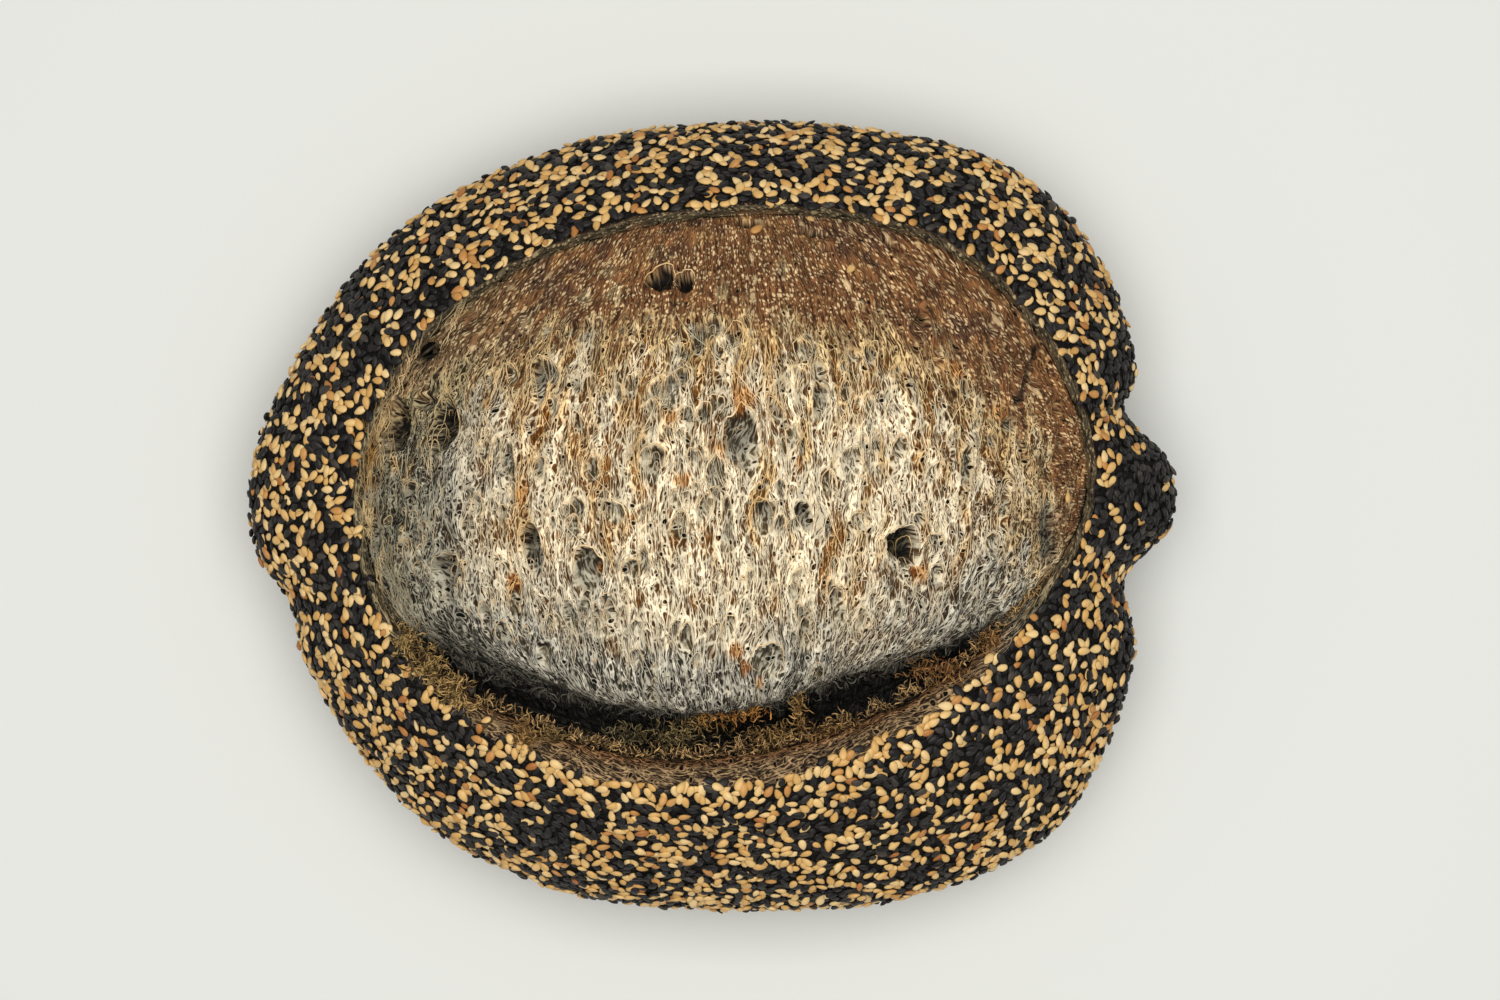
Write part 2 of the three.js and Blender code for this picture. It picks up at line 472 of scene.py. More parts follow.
# %% Small bubbles by chance
# Most are barely wider than a pinhole, and few reach the size of the large ones.
SMALL_BUBBLES = 700
CRUMB_X, CRUMB_Y = (-78, 84), (-44, 48)
rng = np.random.default_rng(7)
widths = 0.35 + 1.6 * rng.random(SMALL_BUBBLES) ** 3.5
bubbles = np.vstack(
    [
        BUBBLES,
        np.stack(
            [
                rng.uniform(*CRUMB_X, SMALL_BUBBLES),
                rng.uniform(*CRUMB_Y, SMALL_BUBBLES),
                widths,
                widths * rng.uniform(1.3, 2.8, SMALL_BUBBLES),
                widths * rng.uniform(0.7, 1.2, SMALL_BUBBLES),
                rng.normal(0, 9, SMALL_BUBBLES),
            ],
            1,
        ),
    ]
)
print("bubbles:", len(bubbles), "median width, mm:", (2 * np.median(bubbles[:, 2])).round(1))

# %% [markdown]
# A torn bubble falls away steeply under its upper edge, where the roof still hangs over, and comes back to
# the surface at its lower one. Cutting each out with a boolean would be slow and leave ragged faces, so
# its oval, with a few waves in its edge, only says how deep each vertex sinks.

# %% Open them
PUSHING_WIDTH = 1.3  # millimetres of half width, from which a bubble pushes the threads beside it apart


def outline(bubble, angle):
    """How far a bubble's edge lies from its middle, as a share of the plain oval."""
    waves = 0.1 * np.sin(2 * angle + bubble[0]) + 0.1 * np.sin(3 * angle + bubble[1])
    return 1 + waves + 0.05 * np.sin(7 * angle + bubble[2])


domed = np.flatnonzero(ring < FOOT + 1.5)
hollow, opened, roof_shadow, rise, swerve = np.zeros((5, len(domed)))
for bubble in bubbles:
    middle_x, middle_y, half_width, half_length, depth, tilt = bubble
    lean = math.radians(tilt)
    away_x, away_y = x[domed] - middle_x, y[domed] - middle_y
    wide = (away_x * math.cos(lean) + away_y * math.sin(lean)) / half_width
    long = (away_y * math.cos(lean) - away_x * math.sin(lean)) / half_length
    out = np.hypot(wide, long) / outline(bubble, np.arctan2(long, wide))
    edge = min(0.7 / half_width, 0.6)
    inside = 1 - smoothstep(1 - edge, 1, out)
    foot_share = min(max(depth / 5.5, 0.2), 0.85)
    fall = depth * (foot_share + (1 - foot_share) * smoothstep(-0.9, 0.7, long))
    hollow = np.maximum(hollow, fall * inside)
    opened = np.maximum(opened, inside)
    # Just under the upper edge, where the roof hangs over: a mask for painted shadow.
    roof_shadow = np.maximum(roof_shadow, inside * smoothstep(0.35, 0.95, out) * smoothstep(-0.15, 0.6, long))
    rise = np.maximum(rise, 0.4 * np.exp(-(((out - 1) / edge) ** 2)) * smoothstep(-1.1, 0.2, long))
    beside = np.maximum(out, 1)
    if half_width > PUSHING_WIDTH:
        pushed = 0.4 * half_width * wide / beside * np.exp(-(((beside - 1) / 0.8) ** 2))
        swerve = np.where(np.abs(pushed) > np.abs(swerve), pushed, swerve)
hollow, opened, roof_shadow, rise, swerve = (
    np.bincount(domed, values, len(ring)) * on_dome for values in (hollow, opened, roof_shadow, rise, swerve)
)
rise *= crumb * (hollow < 0.3)
grain[:, 0] -= swerve
print("deepest bubble, mm:", hollow.max().round(1))

# %% The web of stretched walls
# The grain has already been led round the bubbles, as the walls were when they stretched. Each pair of
# numbers is how many millimetres wide and long the marks are.
wander = np.stack([hills(smooth, 8, 4), hills(smooth, 8, 5), 0 * ring], 1)
bent_grain = grain + 1.8 * wander
walls = ridges(hills(bent_grain / [2.6, 9, 1], 1, 6), 0.2)
thin_walls = ridges(hills(bent_grain / [1.5, 5, 1], 1, 7), 0.25)
threads = hills(bent_grain / [1.0, 7, 1], 1, 8)
sag = hills(bent_grain / [4.5, 9, 1], 1, 9)
web = 0.3 * walls + 0.2 * thin_walls + 0.25 * threads - 0.45 * smoothstep(0, 0.6, sag)
print("web, mm:", web.min().round(2), "to", web.max().round(2))

# %% Sum up the relief
SEED_BED = 0.9  # how far the crust lies under the tops of the seeds, in millimetres
skin_grain = 0.25 * hills(bent_grain / [1.2, 3, 1], 1, 10) + 0.3 * fine
tatters = 1.6 * hills(smooth, 4, 11) + 1.1 * hills(smooth, 1.8, 12)
lip_threads = 0.25 * hills(grain / [1.0, 9, 1], 1, 13) + 0.6 * hills(smooth, 7, 14) + 0.3 * fine
relief = (
    crumb * (web + rise) + skin * on_dome * skin_grain - hollow
    + on_dome * (1.5 * broad + 0.6 * ragged)
    + crevice * tatters
    + lip * (1 - crevice) * lip_threads
    + seam * (0.4 * fine + 0.8 * ragged)
    - crust * SEED_BED
    + crust * (0.6 * broad + 0.12 * fine)
)
print("relief before it fades at the base, mm:", relief.min().round(2), "to", relief.max().round(2))

# %% Push the surface in and out
# The dome's foot is undercut at the left. The relief fades out over the lowest millimetres, so that the
# loaf still stands on a flat base.
FOOT_RISE, FOOT_FADE, UNDERCUT = (190, 206), (228, 258), 1.8
foot_left = between(FOOT_RISE, FOOT_FADE, turn)
foot_reach = 6 + 12 * foot_left + 3 * smoothstep(310, 330, turn)
foot_shade = smoothstep(-1, -0.1, past_foot / foot_reach + 0.15 * ragged) * at_ear * on_dome
relief -= UNDERCUT * foot_left * foot_shade
relief *= smoothstep(1.5, 9, z) * (ring < BASE_EDGE)
shaped = smooth + outward * relief[:, None]
shaped[:, 2] = np.maximum(shaped[:, 2], 0)
outward = move(loaf.data, shaped)
loaf.data.shade_smooth()
print("relief, mm:", relief.min().round(2), "to", relief.max().round(2))

# %% [markdown]
# ## Colours of bread
#
# Each zone has a pair of colours, one for its raised threads and one for the gaps between them, and the share
# that the threads cover. The gap colour is darker: partly the bread's own tone, partly painted shade in the
# low places between the threads. Masks in the material could tell the zones apart, but they would have to
# find each one again. So the colours are laid over one another at the vertices, from the ground up, and the
# material only decides what is thread and what is gap.

# %% Single spots
# Each is [x, y, size], in millimetres. The oven toasted some threads, and blistered the skin pale.
TOASTED = [
    [-8, 22.3, 2.0],
    [2.5, 16.1, 1.9],
    [-5.9, 8.1, 2.2],
    [7.8, 26.8, 2.6],
    [-16.9, 0.3, 1.0],
    [-50.9, 25.4, 1.4],
    [-43, 5, 2.0],
    [-25, -12, 1.6],
    [49, -13, 2.2],
    [57, 34.6, 2.8],
    [69.4, 26.3, 2.8],
    [6.3, -31.3, 1.4],
    [8.8, -34.3, 1.5],
    [11.3, -37.8, 1.5],
    [-46, -16, 1.8],
]
BLISTERED = [
    [-29.4, 51.2, 2.0],
    [-21.4, 51.8, 2.2],
    [-13.3, 60.5, 2.4],
    [-24, 57, 2.2],
    [3.2, 53.3, 1.9],
    [18, 58.8, 2.1],
    [53, 43, 1.8],
    [57, 40.5, 1.7],
    [36, 50, 1.2],
    [-44, 46, 1.8],
]


def patches(rows):
    """Ragged spots, each given by its x, y and size in millimetres: 1 in them and 0 elsewhere."""
    found = np.zeros(len(ring))
    for spot_x, spot_y, size in rows:
        near_by = np.hypot(x - spot_x, 0.8 * (y - spot_y)) / size
        found = np.maximum(found, 1 - smoothstep(0.3, 1.1, near_by + 0.5 * ragged + 0.5 * threads))
    return found


print("vertices in the spots:", int((patches(TOASTED) > 0.5).sum()), int((patches(BLISTERED) > 0.5).sum()))

# %% Larger patches
# A flap of skin, a cave behind it, a pocket and a fold at the right, and the olive tinge of the left side.
def oval(middle, halves, edge, raggedness):
    """1 inside a ragged oval, given by its middle and half sizes in millimetres, and 0 outside it."""
    out = np.hypot((x - middle[0]) / halves[0], (y - middle[1]) / halves[1])
    return 1 - smoothstep(*edge, out + raggedness * ragged)


browning = hills(bent_grain / [4, 15, 1], 1, 15) + 0.9 * (skin_edge - 0.72) + 0.3 * threads
browned = smoothstep(-0.35, 0.75, browning)
tanned = smoothstep(0.8, 0.98, skin_edge + 0.12 * stripes)
flap = oval((-84, 16), (4, 11), (0.6, 1.1), 0.35)
# A mask for painted shade in the cave behind the flap.
cave_shade = oval((-69, 29), (13, 14), (0.5, 1.2), 0.3)
# A mask for painted shade in the pocket at the right.
pocket_shade = oval((79, -4.6), (3.2, 9.5), (0.45, 1.1), 0.35)
FOLD_X, FOLD_Y, FOLD_COS, FOLD_SIN = 76, 34, 0.93, 0.37
off_fold = FOLD_COS * (x - FOLD_X) - FOLD_SIN * (y - FOLD_Y)
along_fold = FOLD_SIN * (x - FOLD_X) + FOLD_COS * (y - FOLD_Y)
# A mask for painted shadow along the fold.
fold_shade = 1 - smoothstep(0.3, 1.1, np.abs(off_fold + 0.8 * ragged))
fold_shade *= 1 - smoothstep(7, 9.5, np.abs(along_fold))
olive = 1 - smoothstep(-72, -25, x)
lip_rim = lip * (1 - smoothstep(LIP_TOP + 0.2, LIP_TOP + 1.6, ring)) * (1 - crevice)
print("share of the crumb that is browned:", round(float(browned[crumb > 0.5].mean()), 2))

# %% Paint the zones
ZONES = [  # share, thread, gap, how much the threads cover
    [1, "#f4e4c2", "#7c4f1a", 0.58],
    [0.9 * browned, "#e6bf80", "#764410", 0.37],
    [grey, "#ccc4b0", "#3b352a", 0.48],
    # Darker grey towards the left end: partly the crumb's own grey, partly painted shade where the dome
    # slopes away from the light.
    [(1 - smoothstep(-76, -48, x)) * grey, "#979079", "#2c281f", 0.45],
    [0.9 * tanned, "#e3c48c", "#664524", 0.42],
    [0.85 * opened * crumb, "#ccc2a8", "#75684c", 0.52],
    # Painted shade: the deeper an opened bubble, the darker its inside.
    [0.7 * smoothstep(0.7, 2.1, hollow) * opened * crumb, "#928d7f", "#3d382e", 0.5],
    # Painted shadow just under each torn bubble's overhanging upper edge.
    [0.9 * roof_shadow * crumb, "#6b5d42", "#251c0f", 0.33],
    # Painted shade in the hollow behind the flap, darker where the bubbles there are deep.
    [0.75 * cave_shade * crumb, "#a89a74", "#2b2519", 0.4],
    [0.8 * cave_shade * smoothstep(0.7, 2.2, hollow) * crumb, "#78725f", "#211e18", 0.5],
    [flap, "#a8834f", "#4b331d", 0.5],
    # Painted shade at the bottom of the deepest hollows.
    [smoothstep(2.4, 4.2, hollow), "#4b4435", "#13100c", 0.36],
    [0.8 * foot_shade, "#7b776a", "#1b1915", 0.42],
    [0.6 * foot_left * foot_shade, "#4f4c43", "#100f0c", 0.4],
    [skin, "#e8c795", "#6b4629", 0.5],
    [skin * smoothstep(-0.1, 0.6, hills(smooth, 16, 16)), "#d3b286", "#523726", 0.42],
    [skin * smoothstep(-0.2, 0.6, hills(smooth, 5, 18)), "#cfa871", "#785030", 0.4],
    [0.6 * skin * olive, "#c9b48a", "#635238", 0.43],
    [0.9 * patches(TOASTED) * on_dome, "#d8a05e", "#834a1e", 0.46],
    [0.7 * patches(BLISTERED) * skin, "#e2cfa4", "#97805a", 0.55],
    # Painted shade in the holes of the skin.
    [skin * smoothstep(1, 2.5, hollow), "#453c2e", "#110d09", 0.3],
    # Painted shade in the pocket at the right.
    [0.9 * pocket_shade * on_dome, "#6a6352", "#17140f", 0.42],
    # Painted shadow along the fold at the right.
    [0.85 * fold_shade * on_dome, "#5f543e", "#191510", 0.4],
    [seam, "#a3926e", "#4b4130", 0.5],
    # Painted shade: the crevice under the ear is coloured near black.
    [crevice, "#302c26", "#050504", 0.38],
    [lip * (1 - crevice), "#a68963", "#34251a", 0.44],
    [0.8 * lip_rim, "#9d6f45", "#371f0f", 0.4],
    [crust, "#24211e", "#100f0e", 0.4],
]
thread_colour, gap_colour = np.zeros((2, len(ring), 4))
cover = np.zeros(len(ring))
for zone, thread_hex, gap_hex, zone_cover in ZONES:
    zone = np.broadcast_to(zone, len(ring))[:, None]
    thread_colour += zone * (np.append(linear(thread_hex), 1) - thread_colour)
    gap_colour += zone * (np.append(linear(gap_hex), 1) - gap_colour)
    cover += zone[:, 0] * (zone_cover - cover)
# Raised walls take more of the pale thread colour, and low places more of the dark gap colour: partly painted
# shade.
height = np.clip(0.5 + (web + 1.5 * rise) * crumb, 0, 1)
felted = skin * (1 - smoothstep(1, 2, hollow))


def keep(mesh, name, kind, values):
    """Stores one value for each vertex under the name."""
    layer = mesh.attributes.new(name, kind, "POINT")
    layer.data.foreach_set("value" if kind == "FLOAT" else "color", values.astype(np.float32).ravel())


keep(loaf.data, "thread", "FLOAT_COLOR", thread_colour)
keep(loaf.data, "gap", "FLOAT_COLOR", gap_colour)
keep(loaf.data, "cover", "FLOAT", cover)
keep(loaf.data, "height", "FLOAT", height)
keep(loaf.data, "felted", "FLOAT", felted)
print("zones painted:", len(ZONES), "mean cover:", cover.mean().round(2))

# %% [markdown]
# ## Maps
#
# The grain coordinates go along as a UV map, so that the material can draw along the threads. A second map
# lays the whole surface out flat for baking. An unwrap by Blender would cut it into many islands. A round
# loaf opens well from its crown instead: the mouth fills the middle of the disc, the crust rings it, and
# the underside goes in a corner.

# %% Lay out the grain and the baking map
corners = np.empty(len(loaf.data.loops), np.int32)
loaf.data.loops.foreach_get("vertex_index", corners)
grain_map = loaf.data.uv_layers.new(name="grain")
grain_map.uv.foreach_set("vector", grain[corners, :2].astype(np.float32).ravel())
MOUTH_SHARE, DISC_RADIUS = 0.84, 0.495
far = np.interp(polar, [0, MOUTH_ANGLE, BASE_ANGLE], [0, 0.5 * MOUTH_SHARE, DISC_RADIUS])
heading = column / COLUMNS * TURN
flat_map = 0.5 + far[:, None] * np.stack([np.cos(heading), np.sin(heading)], 1)
CORNER_MIDDLE, CORNER_SCALE = 0.078, 0.07 / 120  # shares of the map, and per millimetre of the base
under_map = CORNER_MIDDLE + (smooth[:, :2] - crown_point[:2]) * CORNER_SCALE
starts = np.empty(len(loaf.data.polygons), np.int32)
loaf.data.polygons.foreach_get("loop_start", starts)
sides = np.diff(np.append(starts, len(corners)))
face_angle = np.add.reduceat(polar[corners], starts) / sides
is_under = np.repeat(face_angle > BASE_ANGLE, sides)
baking_map = loaf.data.uv_layers.new(name="OFBake")
laid_out = np.where(is_under[:, None], under_map[corners], flat_map[corners])
baking_map.uv.foreach_set("vector", laid_out.astype(np.float32).ravel())
print("corners on the underside:", int(is_under.sum()))

# %% [markdown]
# ## The bread's finish
#
# Baked dough is dry starch: matt, full of pores, with hardly a gleam even where the skin sealed. The walls
# of its finest bubbles run along the grain and are finer than the mesh. More faces could hold them, but
# the piece would grow past what it may weigh, so the material draws them.

# %% Bend the grain
# Real threads wander, so straight coordinates are bent twice: over centimetres, and over millimetres.
bread, tree = new_material("charcoal sourdough, baked")
FLAT = {"TexNoise": {"noise_dimensions": "2D"}, "TexVoronoi": {"voronoi_dimensions": "2D"}}


def marks(pattern, where, width, length, inputs=None, **settings):
    """A flat pattern whose marks are so many millimetres wide and long."""
    squeezed = add(tree, "Mapping", {"Vector": where, "Scale": (1 / width, 1 / length, 1)})
    given = {"Vector": squeezed, "Scale": 1.0, **(inputs or {})}
    return add(tree, pattern, given, **FLAT[pattern], **settings)


def bent(where, width, length, most):
    """Coordinates that wander by up to the most, over the width and length."""
    swerve = marks("TexNoise", where, width, length, {"Detail": 1.0}).outputs["Color"]
    shift = add(tree, "VectorMath", {0: swerve, 1: (2 * most, 2 * most, 0)}, operation="MULTIPLY")
    return add(tree, "VectorMath", {0: where, 1: shift}, operation="ADD")


straight = add(tree, "UVMap", uv_map="grain")
swept = bent(bent(straight, 5, 14, 1.6), 1.3, 3.4, 0.38)
print("nodes that bend the grain:", len(tree.nodes))


# %% Draw the walls of fine bubbles
EASED = {"interpolation_type": "SMOOTHSTEP"}
FALLING = {"To Min": 1.0, "To Max": 0.0}


def edges(width, length, low, high):
    """1 on the walls of bubbles of that size, and 0 inside them."""
    way = marks("TexVoronoi", swept, width, length, feature="DISTANCE_TO_EDGE")
    return add(tree, "MapRange", {"Value": way, "From Min": low, "From Max": high, **FALLING}, **EASED)


def total(*terms):
    """The sum of values, each with its factor."""
    value = 0.0
    for term, factor in terms:
        value = add(tree, "Math", {0: term, 1: factor, 2: value}, operation="MULTIPLY_ADD")
    return value


SMALL, LARGE = (0.9, 3.6), (2.4, 6.5)
small_edges, large_edges = edges(*SMALL, 0.03, 0.17), edges(*LARGE, 0.02, 0.08)
cell_tone = marks("TexVoronoi", swept, *SMALL).outputs["Color"]
print("fine bubbles, mm across and along:", SMALL, LARGE)

# %% Draw streaks between them
# The finest real threads are a tenth of a millimetre wide. That is too fine to show, so the streaks are
# drawn as coarse as they need to be.
STREAK_WIDTH = 0.36
short_streaks = marks("TexNoise", swept, STREAK_WIDTH, 1.9, {"Detail": 2.0})
long_streaks = marks("TexNoise", swept, STREAK_WIDTH, 7, {"Detail": 1.0})
streak = total((short_streaks, 0.55), (long_streaks, 0.45))
streaks = add(tree, "MapRange", {"Value": streak, "From Min": 0.41, "From Max": 0.59}, **EASED)
raised = add(tree, "Attribute", attribute_name="height").outputs["Fac"]
covered = add(tree, "Attribute", attribute_name="cover").outputs["Fac"]
weave = total((streaks, 0.5), (small_edges, 0.3), (large_edges, 0.4), (cell_tone, 0.3), (raised, 0.5))
stacked = total((weave, 1.0), (covered, 1.0))
thread_share = add(tree, "MapRange", {"Value": stacked, "From Min": 1.03, "From Max": 1.62}, **EASED)
print("streaks, mm wide:", STREAK_WIDTH)

# %% Prick pinholes
# A pinhole is a popped bubble half a millimetre across, with a pale, dried rim. Its dark inside is painted
# shade.
PIT_SPACING = (3.0, 3.8)
pit = marks("TexVoronoi", swept, *PIT_SPACING)
pit_size = total((pit, 1.0), (pit.outputs["Color"], -0.16))
pits = add(tree, "MapRange", {"Value": pit_size, "From Min": -0.03, "From Max": 0.03, **FALLING}, **EASED)
pit_rims = add(tree, "MapRange", {"Value": pit_size, "From Min": 0.05, "From Max": 0.12, **FALLING}, **EASED)
rimmed_share = total((thread_share, 1.0), (pit_rims, 0.6), (pits, -2.5))
print("pinholes, mm apart:", PIT_SPACING)

# %% Fleck the sealed skin
# On the skin the threads are matted together, and only pale flecks and a few larger blotches show.
fleck_place = bent(straight, 1.4, 2.4, 0.5)
fleck = marks("TexVoronoi", fleck_place, 0.95, 1.45)
crowd = marks("TexNoise", straight, 3, 6, {"Detail": 2.0})
fleck_size = total((fleck, 1.0), (fleck.outputs["Color"], 0.5), (streak, -0.3), (crowd, -0.6))
ends = {"From Min": -0.12, "From Max": 0.16, "To Min": 0.9, "To Max": 0.0}
flecks = add(tree, "MapRange", {"Value": fleck_size, **ends}, **EASED)
blotch = marks("TexVoronoi", fleck_place, 3.4, 6)
blotch_size = total((blotch, 1.0), (blotch.outputs["Color"], 0.9), (streak, -0.3))
ends = {"From Min": 0.1, "From Max": 0.3, "To Min": 0.8, "To Max": 0.0}
blotches = add(tree, "MapRange", {"Value": blotch_size, **ends}, **EASED)
fleck_share = total((flecks, 1.0), (blotches, 1.0))
sealed = add(tree, "Attribute", attribute_name="felted").outputs["Fac"]
share = add(tree, "Mix", {0: sealed, 2: rimmed_share, 3: fleck_share})
print("nodes that draw threads and flecks:", len(tree.nodes))

# %% Colour the threads and gaps
# The painted pairs meet here. The gaps are dappled by the same streaks, and darkest in the pinholes, as
# painted shade.
threads_painted = add(tree, "Attribute", attribute_name="thread")
gaps_painted = add(tree, "Attribute", attribute_name="gap")
ends = {"From Min": 0.38, "From Max": 0.62, "To Min": 0.35, "To Max": 1.65}
gap_light = add(tree, "MapRange", {"Value": streak, **ends}, **EASED)
dapple = total((gap_light, 1.0), (pits, -0.8))
gaps_dappled = add(tree, "VectorMath", {0: gaps_painted, "Scale": dapple}, operation="SCALE")
woven = add(tree, "Mix", {0: share, 6: gaps_dappled, 7: threads_painted}, data_type="RGBA").outputs[2]
print("nodes with the colours:", len(tree.nodes))

# %% Cloud and crack the whole
# A loaf browns unevenly over a few millimetres, and its dried face splits in hair cracks.
CRACK_SPACING = (4.5, 20)
short_clouds = marks("TexNoise", swept, 2.6, 5.5, {"Detail": 3.0})
long_clouds = marks("TexNoise", swept, 1.8, 24, {"Detail": 1.0})
cloud = total((short_clouds, 0.5), (long_clouds, 0.5))
ends = {"From Min": 0.34, "From Max": 0.66, "To Min": 0.68, "To Max": 1.29}
clouded = add(tree, "MapRange", {"Value": cloud, **ends}, **EASED)
crack = edges(*CRACK_SPACING, 0.004, 0.02)
print("cracks, mm apart:", CRACK_SPACING)
shade = total((clouded, 1.0), (crack, -0.35))
colour = add(tree, "VectorMath", {0: woven, "Scale": shade}, operation="SCALE")

# %% Bread surface
# Oven-dried crumb and crust have no wet or oily film: the eye gets soft, broken light from a rough face,
# and almost no highlight, so that the dark gaps stay dark.
bump = add(tree, "Bump", {"Strength": 0.8, "Distance": 0.35 * MM, "Height": share})
finish = {"Base Color": colour, "Roughness": 0.75, "Specular IOR Level": 0.15, "Normal": bump}
surface = add(tree, "BsdfPrincipled", finish)
add(tree, "OutputMaterial", {"Surface": surface})
print("bread material:", len(tree.nodes), "nodes")
loaf.data.materials.append(bread)
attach(loaf, "root")
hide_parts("loaf")

# %% [markdown]
# ## Sesame
#
# A sesame seed is a flat teardrop about 3.2 mm long. The dough was rolled in black seeds with some golden
# ones, which stuck in a packed coat with more lying on top. A subdivided drop would be rounder, but it is
# laid thousands of times, so one small seed of a few dozen faces is drawn out of a sphere. Drawing it out can
# turn it inside out, so its normals are worked out again, and its signed volume is printed, which is positive
# when they point outward.

# %% Model one seed
SEED_LENGTH, SEED_WIDTH, SEED_THICKNESS = 3.2, 1.95, 0.95
one_seed = bmesh.new()
bmesh.ops.create_uvsphere(one_seed, u_segments=8, v_segments=6, radius=0.5)
for vert in one_seed.verts:
    side_x, side_y, reach_out = vert.co
    taper = 1 - 0.55 * reach_out - 0.5 * reach_out**2  # slim at the pointed end, full at the round one
    vert.co = Vector((reach_out * SEED_LENGTH, side_x * taper * SEED_WIDTH, side_y * taper * SEED_THICKNESS))
one_seed.normal_update()
bmesh.ops.recalc_face_normals(one_seed, faces=one_seed.faces)
print("one seed, mm3:", round(one_seed.calc_volume(signed=True), 2))


# %% Number its points
# Blender merges the sphere's poles in an order that changes from run to run, so the points are put in
# order of place, and each face starts at its lowest number.
def numbered(face):
    """The numbers of a face's points, from the lowest on."""
    numbers = [vert.index for vert in face.verts]
    first = numbers.index(min(numbers))
    return numbers[first:] + numbers[:first]


ordered = sorted(one_seed.verts, key=lambda vert: vert.co.to_tuple(3))
for number, vert in enumerate(ordered):
    vert.index = number
seed_points = np.array([vert.co for vert in ordered])
seed_faces = sorted(numbered(face) for face in one_seed.faces)
one_seed.free()
print("one seed:", len(seed_points), "points,", len(seed_faces), "faces")

# %% Find the crust that holds seeds
# At the ear they reach over its edge, and under the loaf there are none.
LOWEST_SEED = 3
loaf.data.calc_loop_triangles()
triangles = np.empty(len(loaf.data.loop_triangles) * 3, np.int32)
loaf.data.loop_triangles.foreach_get("vertices", triangles)
triangles = triangles.reshape(-1, 3)
seed_line = 0.2 - 1.3 * at_ear
seeded = (past_rim + 1.3 * ragged + 0.8 * fine > seed_line) & (shaped[:, 2] > LOWEST_SEED)
triangles = triangles[seeded[triangles].all(1)]
corner_a, corner_b, corner_c = (shaped[triangles[:, side]] for side in range(3))
areas = np.linalg.norm(np.cross(corner_b - corner_a, corner_c - corner_a), axis=1) / 2
print("seeded crust, cm2:", (areas.sum() / 100).round())


# %% [markdown]
# Blender's particles could scatter the seeds, but they would lie in one another. So they are laid one by
# one, each flat on the crust and turned at random, and a seed that would lie in an earlier one is dropped.
# That way each keeps its own outline. A few strays stick to the bare bread.

# %% Lay seeds one by one
def unit(vectors):
    """The vectors, each one long."""
    return vectors / np.linalg.norm(vectors, axis=-1, keepdims=True)


def lie(points, normals, rises, tilt):
    """Seeds at the points: their middles, and their length, width and thickness directions."""
    tipped = unit(normals + tilt * rng.normal(size=normals.shape))
    way = unit(np.cross(tipped, rng.normal(size=normals.shape)))
    middles = points + normals * rng.uniform(*rises, (len(points), 1))
    return middles, np.stack([way, np.cross(tipped, way), tipped], axis=2)


def lay(tries, room, rises, tilt):
    """Seeds at random places on the crust. Two seeds have a room of 1 where they just touch."""
    picked = rng.choice(len(areas), tries, p=areas / areas.sum())
    share_b, share_c = rng.random(tries), rng.random(tries)
    folded = share_b + share_c > 1
    share_b[folded], share_c[folded] = 1 - share_b[folded], 1 - share_c[folded]
    shares = np.stack([1 - share_b - share_c, share_b, share_c], 1)[:, :, None]
    points = (shaped[triangles[picked]] * shares).sum(1)
    normals = unit((outward[triangles[picked]] * shares).sum(1))
    middles, turns = lie(points, normals, rises, tilt)
    by_length, by_width = 4 / SEED_LENGTH**2, 4 / SEED_WIDTH**2
    neighbours = [(i, j, k) for i in (-1, 0, 1) for j in (-1, 0, 1) for k in (-1, 0, 1)]
    laid, chosen = {}, []
    for at, (px, py, pz, vx, vy, vz) in enumerate(np.hstack([points, turns[:, :, 0]]).tolist()):
        i0, j0, k0 = int(px // SEED_LENGTH), int(py // SEED_LENGTH), int(pz // SEED_LENGTH)
        free = True
        for i, j, k in neighbours:
            for qx, qy, qz, wx, wy, wz in laid.get((i0 + i, j0 + j, k0 + k), ()):
                dx, dy, dz = qx - px, qy - py, qz - pz
                gap = dx * dx + dy * dy + dz * dz
                own, other = dx * vx + dy * vy + dz * vz, dx * wx + dy * wy + dz * wz
                near = math.sqrt(own * own * by_length + max(gap - own * own, 0) * by_width)
                near += math.sqrt(other * other * by_length + max(gap - other * other, 0) * by_width)
                free = free and near > 4 * room
        if free:
            laid.setdefault((i0, j0, k0), []).append((px, py, pz, vx, vy, vz))
            chosen.append(at)
    return middles[chosen], turns[chosen]


BED_TRIES, TOP_TRIES = 45000, 9000
bed = lay(BED_TRIES, 0.74, (0.1, 0.45), 0.1)
top = lay(TOP_TRIES, 1.0, (0.75, 1.05), 0.2)
print("seeds in the bed and on top:", len(bed[0]), len(top[0]))


# %% Add strays on the bare bread
HIGH_ABOVE = 1000 * MM


def drape(path):
    """Drops a plan path onto the loaf, and gives its points, their normals and the vertices by them."""
    points, normals, nearest = [], [], []
    for plan_x, plan_y in path:
        _, place, normal, face = loaf.ray_cast((plan_x * MM, plan_y * MM, HIGH_ABOVE), (0, 0, -1))
        points.append(place / MM)
        normals.append(normal)
        nearest.append(corners[starts[face]])
    return np.array(points), np.array(normals), np.array(nearest)


bpy.context.view_layer.update()
STRAYS = [[11.3, 67.2], [32.8, 57.6], [24.2, 69.8], [84.6, 4.7], [-54.5, -52.2], [-52.4, -48.4]]
stray_points, stray_normals, _ = drape(STRAYS)
strays = lie(stray_points, stray_normals, (1.0, 1.1), 0.1)
print("strays, mm up:", stray_points[:, 2].round())

